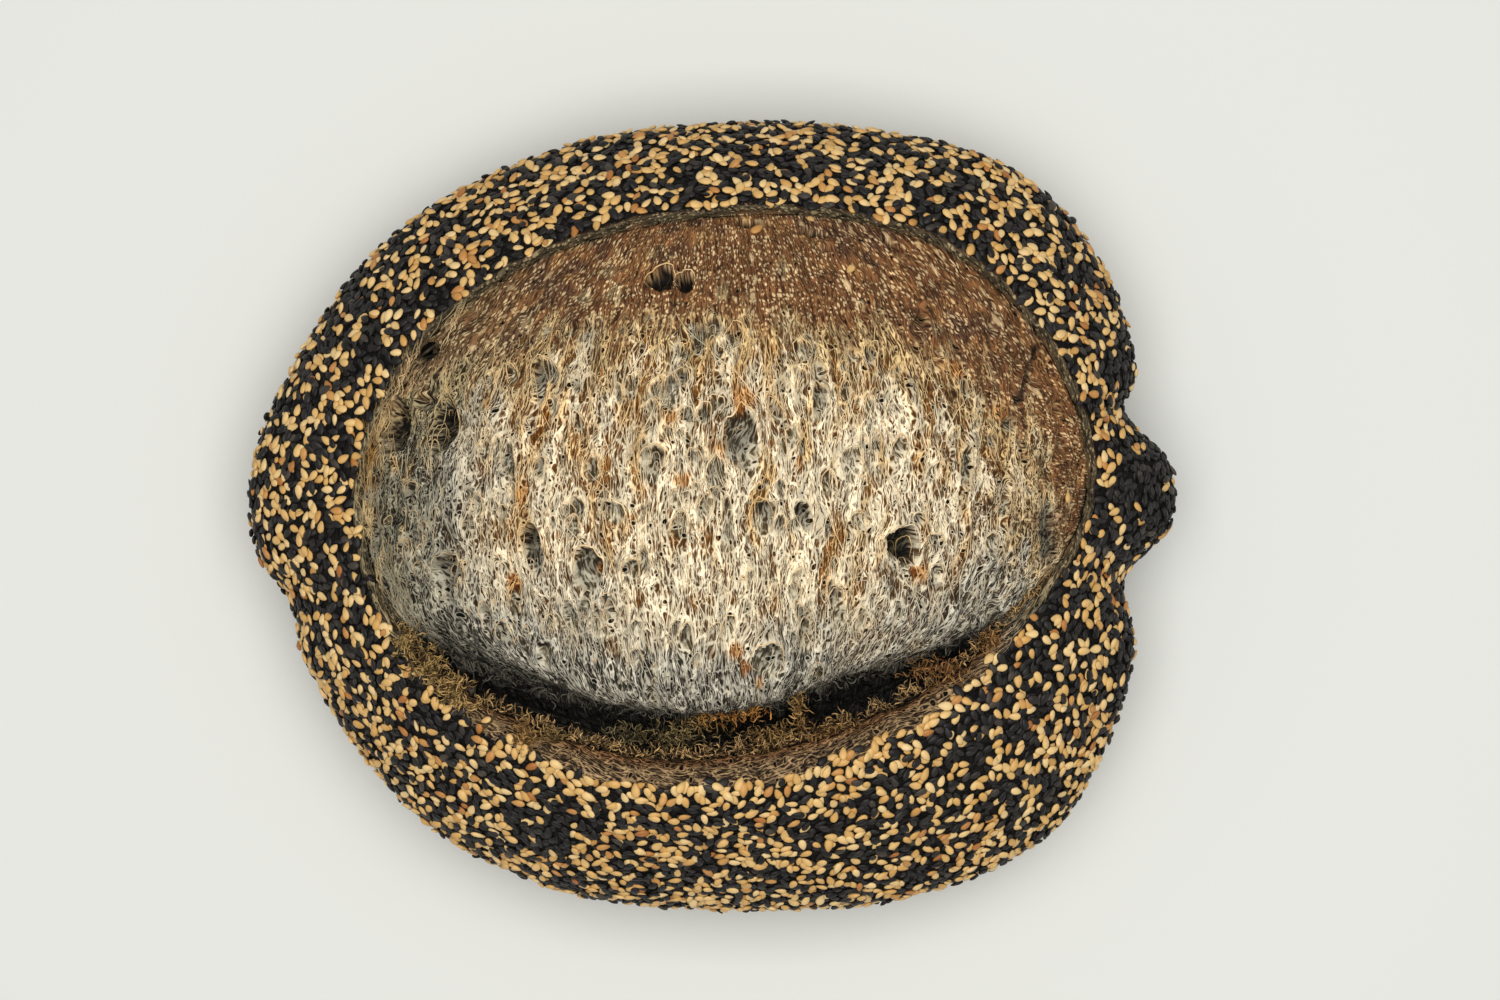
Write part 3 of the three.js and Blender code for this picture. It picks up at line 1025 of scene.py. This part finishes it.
# %% Choose their colours
# Golden seeds lie in drifts, more of them on top and along the ear's rim, and few on the knob at +X.
BED_GOLDEN, TOP_GOLDEN, RIM_GOLDEN, KNOB_GOLDEN = 0.41, 0.57, 0.32, -0.35
RIM_POINTS, RIM_FROM, RIM_TO = 240, 215, 340
middles, turns = (np.concatenate(parts) for parts in zip(bed, top, strays))
in_bed = np.arange(len(middles)) < len(bed[0])
golden_share = np.where(in_bed, BED_GOLDEN, TOP_GOLDEN) + 0.2 * hills(middles, 8, 20)
golden_share += KNOB_GOLDEN * smoothstep(96, 103, middles[:, 0])
rim_columns = np.linspace(RIM_FROM, RIM_TO, RIM_POINTS) / 360 * COLUMNS
ear_rim = read(chart, np.full(RIM_POINTS, float(RIM)), rim_columns)
off_rim = np.linalg.norm(middles[:, None] - ear_rim, axis=2).min(1)
golden_share += RIM_GOLDEN * (1 - smoothstep(1.5, 4.5, off_rim))
is_golden = rng.random(len(middles)) < golden_share
is_golden[-len(STRAYS) :] = True
print("golden seeds:", int(is_golden.sum()), "of", len(middles))


# %% [markdown]
# Instances of one seed would be lighter, but each needs its own tone and its own place on the baking map.
# So the seed's points are copied into every place at once, and a quarter of the loaf makes one piece,
# which keeps each piece light.

# %% Copy the seed into every place
def link(name, mesh, material):
    """Puts a mesh in the scene as a piece of the loaf."""
    mesh.materials.append(material)
    mesh.shade_smooth()
    piece = bpy.data.objects.new(name, mesh)
    bpy.context.scene.collection.objects.link(piece)
    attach(piece, "root")
    return piece


def map_squares(mesh, flat, thing):
    """A baking map that gives each numbered thing a square of its own."""
    squares = math.ceil(math.sqrt(thing[-1] + 1))
    laid_out = (np.stack([thing % squares, thing // squares], 1) + flat) / squares
    corner_of = np.empty(len(mesh.loops), np.int32)
    mesh.loops.foreach_get("vertex_index", corner_of)
    mesh.uv_layers.new(name="OFBake").uv.foreach_set("vector", laid_out[corner_of].astype(np.float32).ravel())


def plant(name, material, middles, turns):
    """One piece that holds a copy of the seed at each place, each with its own tone and map square."""
    count, points_each = len(middles), len(seed_points)
    scale = rng.normal(1, 0.09, (count, 1, 1)).clip(0.78, 1.2)
    spread = np.einsum("nij,pj->npi", turns, seed_points) * scale + middles[:, None]
    firsts = range(0, count * points_each, points_each)
    faces = [[first + corner for corner in face] for first in firsts for face in seed_faces]
    mesh = bpy.data.meshes.new(name)
    mesh.from_pydata(spread.reshape(-1, 3) * MM, [], faces)
    keep(mesh, "tone", "FLOAT", np.repeat(rng.random(count), points_each))
    keep(mesh, "tip", "FLOAT", np.tile(seed_points[:, 0] / SEED_LENGTH + 0.5, count))
    flat = seed_points[:, :2] / [SEED_LENGTH, SEED_WIDTH * 1.2] * 0.9 + 0.5
    map_squares(mesh, np.tile(flat, (count, 1)), np.repeat(np.arange(count), points_each))
    return link(name, mesh, material)


# %% [markdown]
# ## Seed coats
#
# A handful of seeds is never one colour: the oven browns each a little differently. Noise could vary them,
# but it would run across a seed and its neighbours alike. So each seed has a tone of its own, from 0 to 1,
# and a ramp turns it into a colour.

# %% A coat of any colour
def seed_coat(name, tones, roughness):
    """A seed coat whose colour goes by the seed's own tone, a little darker at its pointed tip."""
    material, tree = new_material(name)
    tone = add(tree, "Attribute", attribute_name="tone").outputs["Fac"]
    tip = add(tree, "Attribute", attribute_name="tip").outputs["Fac"]
    own = add(tree, "ValToRGB", {"Fac": tone}, stops=tones)
    ends = {"From Min": 0.5, "From Max": 1.0, "To Min": 1.0, "To Max": 0.75}
    shade = add(tree, "MapRange", {"Value": tip, **ends})
    dulled = add(tree, "VectorMath", {0: own, "Scale": shade}, operation="SCALE")
    finish = {"Base Color": dulled, "Roughness": roughness, "Specular IOR Level": 0.35}
    surface = add(tree, "BsdfPrincipled", finish)
    add(tree, "OutputMaterial", {"Surface": surface})
    print(name, "roughness:", roughness)
    return material


# %% Golden and black
# Golden seeds are hulled and toasted: cream to amber, smooth, with a soft, oily gleam.
GOLDEN_TONES = [(0.0, "#eaca90"), (0.35, "#e2ba78"), (0.85, "#d2a35c"), (0.97, "#bd8345"), (1.0, "#a2642f")]
golden = seed_coat("golden sesame, toasted", GOLDEN_TONES, 0.45)

# Black seeds keep their dry, ribbed hull: near black, with a duller gleam, and a few worn brown.
BLACK_TONES = [(0.0, "#12100e"), (0.5, "#1b1816"), (0.9, "#2a2622"), (1.0, "#463e35")]
black = seed_coat("black sesame, dry", BLACK_TONES, 0.55)

# %% Plant the seeds by quarters
QUARTERS = ["right", "back", "left", "front"]
quarter = ((np.degrees(np.arctan2(middles[:, 1], middles[:, 0])) + 45) % 360 // 90).astype(int)
for at, side in enumerate(QUARTERS):
    for material, slot, chosen in ((golden, "golden_sesame", is_golden), (black, "black_sesame", ~is_golden)):
        here = (quarter == at) & chosen
        piece = plant(f"{slot}_{side}", material, middles[here], turns[here])
        print(piece.name, int(here.sum()), "seeds")

# %% [markdown]
# ## Threads
#
# The stretched walls dried into threads: they rim the torn bubbles and run down the dome across the
# hollows, and where the ear tore away it left a shaggy fringe. Hair curves could draw them, but only a
# mesh can be exported. So each is a short curve with a round section that thins to its tip, and each kind
# is turned into one mesh at the end. A thread keeps the colour of the bread under it.

# %% Make threads of paths
def threads_piece(name, paths, thicknesses, tints, material):
    """One piece of tapering threads along the paths, in millimetres, with a tint for each point."""
    curve = bpy.data.curves.new(name, "CURVE")
    curve.dimensions = "3D"
    curve.bevel_depth = 1 * MM  # so that a point's radius is its thread's, in millimetres
    curve.bevel_resolution = 0
    for path, thickness in zip(paths, thicknesses):
        thread = curve.splines.new("POLY")
        thread.points.add(len(path) - 1)
        thread.points.foreach_set("co", np.hstack([path * MM, np.ones((len(path), 1))]).ravel())
        taper = np.minimum(1, 3.5 * (0.52 - np.abs(np.linspace(-0.5, 0.5, len(path)))))
        thread.points.foreach_set("radius", thickness / 2 * taper)
    holder = bpy.data.objects.new(name, curve)
    bpy.context.scene.collection.objects.link(holder)
    bpy.context.view_layer.update()
    tubes = bmesh.new()
    tubes.from_mesh(bpy.data.meshes.new_from_object(holder))
    bmesh.ops.holes_fill(tubes, edges=[edge for edge in tubes.edges if edge.is_boundary], sides=4)
    mesh = bpy.data.meshes.new(name)
    tubes.to_mesh(mesh)
    tubes.free()
    bpy.data.objects.remove(holder)
    section = len(mesh.vertices) // sum(len(path) for path in paths)
    keep(mesh, "tint", "FLOAT_COLOR", np.repeat(np.concatenate(tints), section, axis=0))
    share = np.concatenate([np.linspace(0.05, 0.95, len(path)) for path in paths])
    side = np.abs(np.arange(section) - section / 2) / (section / 2) * 0.9 + 0.05
    flat = np.stack([np.repeat(share, section), np.tile(side, len(share))], 1)
    thing = np.repeat(np.arange(len(paths)), [len(path) * section for path in paths])
    map_squares(mesh, flat, thing)
    link(name, mesh, material)
    print(name, "threads:", len(paths), "faces:", len(mesh.polygons))


# %% Dried crumb
# Gluten and starch, pulled thin and dried in the oven: matt, a little glassier than the crumb, and
# unevenly browned along its length, so each thread is mottled every 1.5 mm.
MOTTLE_SIZE = 1.5 * MM
dried, tree = new_material("crumb threads, dried")
here = add(tree, "TexCoord").outputs["Object"]
mottle = add(tree, "TexNoise", {"Vector": here, "Scale": 1 / MOTTLE_SIZE, "Detail": 2.0})
ends = {"From Min": 0.3, "From Max": 0.7, "To Min": 0.7, "To Max": 1.25}
shade = add(tree, "MapRange", {"Value": mottle, **ends})
tint = add(tree, "Attribute", attribute_name="tint")
mottled = add(tree, "VectorMath", {0: tint, "Scale": shade}, operation="SCALE")
surface = add(tree, "BsdfPrincipled", {"Base Color": mottled, "Roughness": 0.7, "Specular IOR Level": 0.15})
add(tree, "OutputMaterial", {"Surface": surface})
print("thread material:", len(tree.nodes), "nodes")


# %% [markdown]
# On the dome the threads run the way the crumb was stretched, from back to front. Each is drawn in plan
# and dropped onto the loaf with a ray, then pulled taut, because a real thread spans the hollows under it.
# A Shrinkwrap modifier would press it down into them.

# %% Stretch threads over the dome
DOME_X, DOME_Y = 3.5, 11
DOME_HALF_LENGTH, DOME_BACK, DOME_FRONT = 84, 50, 53


def taut(points, times):
    """The points, lifted as a tight thread is where it crosses a hollow."""
    for _ in range(times):
        spanned = (points[:-2, 2] + points[2:, 2]) / 2
        points[1:-1, 2] = np.maximum(points[1:-1, 2], spanned)
    return points


def on_crumb(plan):
    """Whether every point of a plan path lies well inside the dome's crumb."""
    reach_y = np.where(plan[:, 1] > DOME_Y, DOME_BACK, DOME_FRONT)
    far_out = ((plan[:, 0] - DOME_X) / DOME_HALF_LENGTH) ** 2 + ((plan[:, 1] - DOME_Y) / reach_y) ** 2
    return far_out.max() < 1


WARM = np.append(linear("#dcb276"), 1)
THREADS = 1100
paths, thicknesses, tints = [], [], []
for _ in range(THREADS):
    steps = int(rng.choice([6, 9, 12, 20], p=[0.4, 0.3, 0.22, 0.08]))
    heading = rng.normal(-0.5 * math.pi, 0.09) + np.cumsum(rng.normal(0, 0.1, steps))
    strides = np.stack([np.cos(heading), np.sin(heading)], 1) * rng.uniform(0.9, 1.5)
    plan = [rng.uniform(-78, 86), rng.uniform(-35, 58)] + np.cumsum(strides, axis=0)
    if not on_crumb(plan):
        continue
    points, _, nearest = drape(plan)
    if crumb[nearest].mean() > 0.7 and hollow[nearest].max() < 1.6:
        thickness = rng.uniform(0.14, 0.32)
        paths.append(taut(points, 3) + [0, 0, 0.2 * thickness])
        thicknesses.append(thickness)
        warmth = 0.5 * rng.random() ** 3
        tints.append(thread_colour[nearest] * (1 - warmth) + WARM * warmth)
print("threads over the dome:", len(paths))

# %% Bind the left edge
# There the dome tore from the crust slowly, and threads lie along the tear.
EDGE_TRIES, EDGE_FROM, EDGE_TO, EDGE_POINTS = 300, 148, 206, 8
BROWN = np.append(linear("#8a6534"), 1)


def on_ring(ring_at, degrees):
    """The plain loaf's point on a ring, that many degrees round from +X."""
    return read(chart, np.array([ring_at]), np.array([degrees / 360 * COLUMNS]))[0]


for _ in range(EDGE_TRIES):
    degrees = rng.uniform(EDGE_FROM, EDGE_TO)
    start = on_ring(rng.uniform(FOOT - 0.7, FOOT + 0.2), degrees)
    tangent = np.array([math.sin(math.radians(degrees)), -math.cos(math.radians(degrees))])
    wobble = np.cumsum(rng.normal(0, 0.45, (EDGE_POINTS, 2)), axis=0)
    plan = start[:2] + np.arange(EDGE_POINTS)[:, None] * tangent * rng.uniform(0.8, 1.4) + wobble
    points, _, nearest = drape(plan)
    if hollow[nearest].max() > 1:
        continue
    thickness = rng.uniform(0.2, 0.4)
    paths.append(taut(points, 4) + [0, 0, 0.2 * thickness])
    thicknesses.append(thickness)
    browned_by = 0.8 * rng.random() ** (1.0 if abs(start[1] - 17) < 14 else 4.0)
    tints.append(thread_colour[nearest] * (1 - browned_by) + BROWN * browned_by)
threads_piece("stretched_threads", paths, thicknesses, tints, dried)

# %% Rim the torn bubbles
# The roof of a torn bubble shrinks back into a thick thread over its upper edge. The lower end stays open,
# and so do about half of the smallest bubbles.
paths, thicknesses, tints = [], [], []
for bubble in bubbles:
    middle_x, middle_y, half_width, half_length, depth, tilt = bubble
    ends = rng.uniform(-70, -30), rng.uniform(210, 250)
    angles = np.radians(np.linspace(*ends, 8 + int(2.4 * half_length)))
    lean = math.radians(tilt)
    uneven = np.convolve(rng.normal(0, 0.1, len(angles) + 2), [0.25, 0.5, 0.25], "valid")
    spread = 1.04 * outline(bubble, angles) + uneven
    wide, long = half_width * spread * np.cos(angles), half_length * spread * np.sin(angles)
    plan_x = middle_x + wide * math.cos(lean) - long * math.sin(lean)
    plan = np.stack([plan_x, middle_y + wide * math.sin(lean) + long * math.cos(lean)], 1)
    if not on_crumb(plan) or (half_width < 0.9 and rng.random() < 0.45):
        continue
    points, _, nearest = drape(plan)
    if crumb[nearest].min() > 0.5 or depth > 4:
        paths.append(taut(points, 6) + [0, 0, 0.05])
        thicknesses.append(rng.uniform(0.2, 0.3) + 0.05 * half_width)
        warmth = rng.uniform(0.1, 0.65)
        tints.append(thread_colour[nearest] * (1 - warmth) + WARM * warmth)
threads_piece("bubble_rims", paths, thicknesses, tints, dried)


# %% [markdown]
# Where nothing held them, torn threads curled up as they dried. Simulated hair would need a scalp and
# time. A path that sets out one way and turns a little at random at each step looks the same at this size.

# %% Curl a thread
def curl(start, heading, steps, stride, bend):
    """A path that sets out along the heading and curls at random."""
    path = [start]
    for turn_by in rng.normal(0, bend, (steps, 3)):
        heading = unit(heading + turn_by)
        path.append(path[-1] + heading * stride)
    return np.array(path)


def mixed(tones, count):
    """A tint for each point, somewhere between the first and the last tone and nearer the last one to the
    tip.
    """
    first, last = (np.append(linear(tone), 1) for tone in tones)
    share = np.clip(rng.uniform(-0.2, 1) + np.linspace(-0.3, 0.4, count), 0, 1)[:, None]
    return first + (last - first) * share


# %% Fringe the ear
# The fringe stands in tufts along the ear's edge, and its tips are toasted pale.
EAR_TONES = ("#2f2012", "#d9b076")
FRINGE, FRINGE_FROM, FRINGE_TO = 2200, 202, 346
paths, thicknesses, tints = [], [], []
for _ in range(FRINGE):
    degrees = rng.uniform(FRINGE_FROM, FRINGE_TO)
    start = on_ring(rng.normal(LIP_TOP - 0.7, 0.35), degrees)
    inward = unit((crown_point - start) * [1, 1, 0])
    tuft = 0.35 + 1.3 * noise.noise([degrees / 3.5, 5, 5]) + 0.9 * noise.noise([degrees / 1.1, 9, 9])
    if rng.random() > 0.25 + tuft:
        continue
    reach_in, reach_up = 0.5 + 3.2 * max(tuft, 0), 1.2 * max(tuft, 0.2)
    start = start + inward * rng.uniform(0.4, reach_in) + [0, 0, rng.uniform(-1.2, reach_up)]
    path = curl(start, unit(inward + rng.normal(0, 0.5, 3)), 6, rng.uniform(0.25, 0.6), 0.45)
    paths.append(path)
    thicknesses.append(0.14 + 0.3 * rng.random() ** 2)
    tints.append(mixed(EAR_TONES, len(path)))
print("threads at the ear:", len(paths))

# %% Hang threads from the dome's foot
# The hanging threads darken to near black towards their tips, which hang into the crevice: painted shade.
FOOT_TONES = ("#6b665a", "#1c1914")
HANGING, HANGING_FROM, HANGING_TO = 420, 205, 343
for _ in range(HANGING):
    degrees = rng.uniform(HANGING_FROM, HANGING_TO)
    start = on_ring(rng.normal(FOOT - 0.3, 0.35), degrees)
    outset = unit((start - crown_point) * [1, 1, 0])
    path = curl(start + outset * 0.3, unit(outset * 0.4 + [0, 0, -1]), 6, rng.uniform(0.4, 0.8), 0.45)
    paths.append(path)
    thicknesses.append(rng.uniform(0.2, 0.4))
    tints.append(mixed(FOOT_TONES, len(path)))
threads_piece("torn_fringe", paths, thicknesses, tints, dried)

# %% [markdown]
# In the crevice the torn crumb lies in heaps, dark below and toasted above. Each heap is placed one by one,
# because their places are what the eye knows the loaf by, and the threads in a heap are laid by chance.

# %% Heap the shreds
# Each is [x, y, z, spread across, spread along, spread up, threads, darkest tone, palest tone].
# The darkest tones are partly the torn crumb's own brown and partly painted shade of the crevice, above all
# the near-black ones.
SHREDS = [
    [-72, -30, 72, 1.2, 1.7, 0.6, 130, "#3f321d", "#c2a166"],
    [-66.5, -35.5, 73.2, 1.9, 1.9, 0.7, 240, "#3f2f1b", "#cba768"],
    [-61, -41, 74.6, 1.6, 1.2, 0.6, 130, "#3f2f1b", "#cfa96a"],
    [-57, -44.5, 77, 2.4, 0.5, 0.3, 40, "#8a6a3c", "#d2ae70"],
    [-43.5, -51.5, 79, 0.9, 1.9, 1.2, 110, "#5a3d20", "#c39a5e"],
    [-38, -53, 76, 2.2, 1.0, 1.0, 90, "#4a3820", "#a88a54"],
    [-30, -54, 72, 4.5, 1.4, 1.6, 200, "#1c1a15", "#80745a"],
    [-19, -52.5, 71, 2.2, 1.6, 1.6, 150, "#1c1a15", "#94835c"],
    [-8, -52, 73, 4.0, 1.8, 2.0, 260, "#1c1a15", "#9a8458"],
    [-3, -47.5, 73, 3.2, 1.4, 1.4, 160, "#33260f", "#b38a50"],
    [3, -45.5, 75, 2.2, 1.0, 1.2, 140, "#5b3512", "#cf8f45"],
    [9, -45.5, 75, 2.2, 0.8, 1.0, 120, "#643a14", "#dda057"],
    [14.5, -53, 75, 3.5, 2.0, 1.8, 240, "#3a2c1a", "#a88450"],
    [21.5, -47, 76, 0.7, 2.6, 1.6, 80, "#5b4022", "#c49a5c"],
    [29, -51, 77, 4.0, 1.6, 1.4, 200, "#3c2b18", "#ac8450"],
    [54, -36, 74, 3.5, 1.6, 1.4, 160, "#4a321c", "#a87a48"],
    [66, -29, 72, 1.4, 1.2, 1.6, 90, "#4a321c", "#b08450"],
]
paths, thicknesses, tints = [], [], []
for middle_x, middle_y, middle_z, *spread, count, dark_tone, pale_tone in SHREDS:
    for _ in range(count):
        start = rng.normal([middle_x, middle_y, middle_z], spread)
        path = curl(start, unit(rng.normal(size=3) * [1, 1, 0.4]), 6, rng.uniform(0.3, 0.7), 0.6)
        paths.append(path)
        thicknesses.append(0.16 + 0.34 * rng.random() ** 2)
        tints.append(mixed((dark_tone, pale_tone), len(path)))
threads_piece("crevice_shreds", paths, thicknesses, tints, dried)
